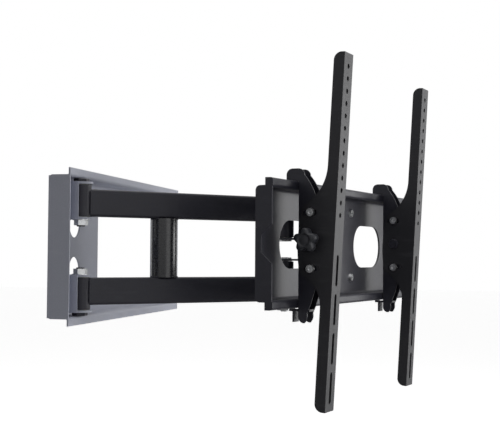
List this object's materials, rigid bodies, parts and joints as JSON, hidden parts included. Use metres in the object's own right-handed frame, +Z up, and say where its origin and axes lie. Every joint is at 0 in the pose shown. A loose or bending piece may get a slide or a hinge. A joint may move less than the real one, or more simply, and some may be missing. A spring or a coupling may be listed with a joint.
{
  "type": "full_motion_tv_wall_mount",
  "caption": "Full motion TV wall mount: a tray-shaped wall plate, a swinging twin-bar arm, a swivelling head plate and tilting slotted TV bars with clamp knobs",
  "frame": {"origin": "centre of the wall plate's back face, on the wall", "axes": "+X to the right when facing the wall, +Y into the wall, +Z up; the room is at -Y"},
  "size_m": [0.5309, 0.4077, 0.4315],
  "materials": {
    "grey_powder_coat": "light silver-grey powder coat, satin",
    "black_powder_coat": "black fine-texture powder coat, satin",
    "gloss_black": "smooth gloss black paint",
    "zinc_plate": "bright zinc plate",
    "nylon": "natural nylon",
    "knob_plastic": "moulded dark grey plastic"
  },
  "bodies": {
    "wall": {"wall_plate": "grey_powder_coat", "upper_wall_bracket": "grey_powder_coat", "lower_wall_bracket": "grey_powder_coat", "wall_pivot_bolts": "black_powder_coat", "wall_pivot_washers": "zinc_plate", "wall_pivot_nuts": "zinc_plate"},
    "arm": {"upper_wall_barrel": "black_powder_coat", "lower_wall_barrel": "black_powder_coat", "upper_head_barrel": "black_powder_coat", "lower_head_barrel": "black_powder_coat", "upper_arm_bar": "black_powder_coat", "lower_arm_bar": "black_powder_coat", "tie_tube": "gloss_black", "wall_bushes": "nylon", "head_bushes": "nylon"},
    "head": {"head_plate": "black_powder_coat", "upper_swivel_bracket": "black_powder_coat", "lower_swivel_bracket": "black_powder_coat", "head_pivot_bolts": "zinc_plate", "head_pivot_nuts": "zinc_plate", "plate_screws": "zinc_plate", "plate_nuts": "zinc_plate"},
    "left_hook": {"left_hook_bracket": "black_powder_coat", "left_pivot_bolt": "black_powder_coat", "left_pivot_washer": "zinc_plate", "left_guide_screws": "zinc_plate"},
    "left_bar": {"left_vesa_bar": "black_powder_coat"},
    "left_knob_body": {"left_knob": "knob_plastic"},
    "left_latch_body": {"left_latch": "black_powder_coat"},
    "right_hook": {"right_hook_bracket": "black_powder_coat", "right_pivot_bolt": "black_powder_coat", "right_pivot_washer": "zinc_plate", "right_guide_screws": "zinc_plate"},
    "right_bar": {"right_vesa_bar": "black_powder_coat"},
    "right_knob_body": {"right_knob": "knob_plastic"},
    "right_latch_body": {"right_latch": "black_powder_coat"}
  },
  "joints": [
    {"name": "wall_swivel", "type": "hinge", "parent": "wall", "child": "arm", "pos_m": [-0.178, -0.025, 0], "axis": [0, 0, 1], "range_deg": [-76, 35]},
    {"name": "head_swivel", "type": "hinge", "parent": "arm", "child": "head", "pos_m": [0.02707, -0.23008, 0], "axis": [0, 0, 1], "range_deg": [-35, 20]},
    {"name": "left_slide", "type": "slide", "parent": "head", "child": "left_hook", "axis": [0.969, -0.247, 0], "range_m": [-0.05, 0.1]},
    {"name": "left_tilt", "type": "hinge", "parent": "left_hook", "child": "left_bar", "pos_m": [-0.07734, -0.28747, 0.01], "axis": [0.969, -0.247, 0], "range_deg": [-8, 12]},
    {"name": "left_knob_turn", "type": "hinge", "parent": "left_hook", "child": "left_knob_body", "pos_m": [-0.10156, -0.28129, 0.01], "axis": [0.969, -0.247, 0], "range_deg": [0, 360]},
    {"name": "left_latch_slide", "type": "slide", "parent": "left_hook", "child": "left_latch_body", "axis": [0, 0, 1], "range_m": [-0.009, 0], "stiffness_N_per_m": 300, "springref_m": 0.005},
    {"name": "right_slide", "type": "slide", "parent": "head", "child": "right_hook", "axis": [0.969, -0.247, 0], "range_m": [-0.1, 0.05]},
    {"name": "right_tilt", "type": "hinge", "parent": "right_hook", "child": "right_bar", "pos_m": [0.21511, -0.36201, 0.01], "axis": [0.969, -0.247, 0], "range_deg": [-8, 12]},
    {"name": "right_knob_turn", "type": "hinge", "parent": "right_hook", "child": "right_knob_body", "pos_m": [0.23934, -0.36819, 0.01], "axis": [0.969, -0.247, 0], "range_deg": [0, 360]},
    {"name": "right_latch_slide", "type": "slide", "parent": "right_hook", "child": "right_latch_body", "axis": [0, 0, 1], "range_m": [-0.009, 0], "stiffness_N_per_m": 300, "springref_m": 0.005}
  ],
  "couplings": [
    {"joint": "right_tilt", "follows": "left_tilt", "ratio": 1}
  ]
}
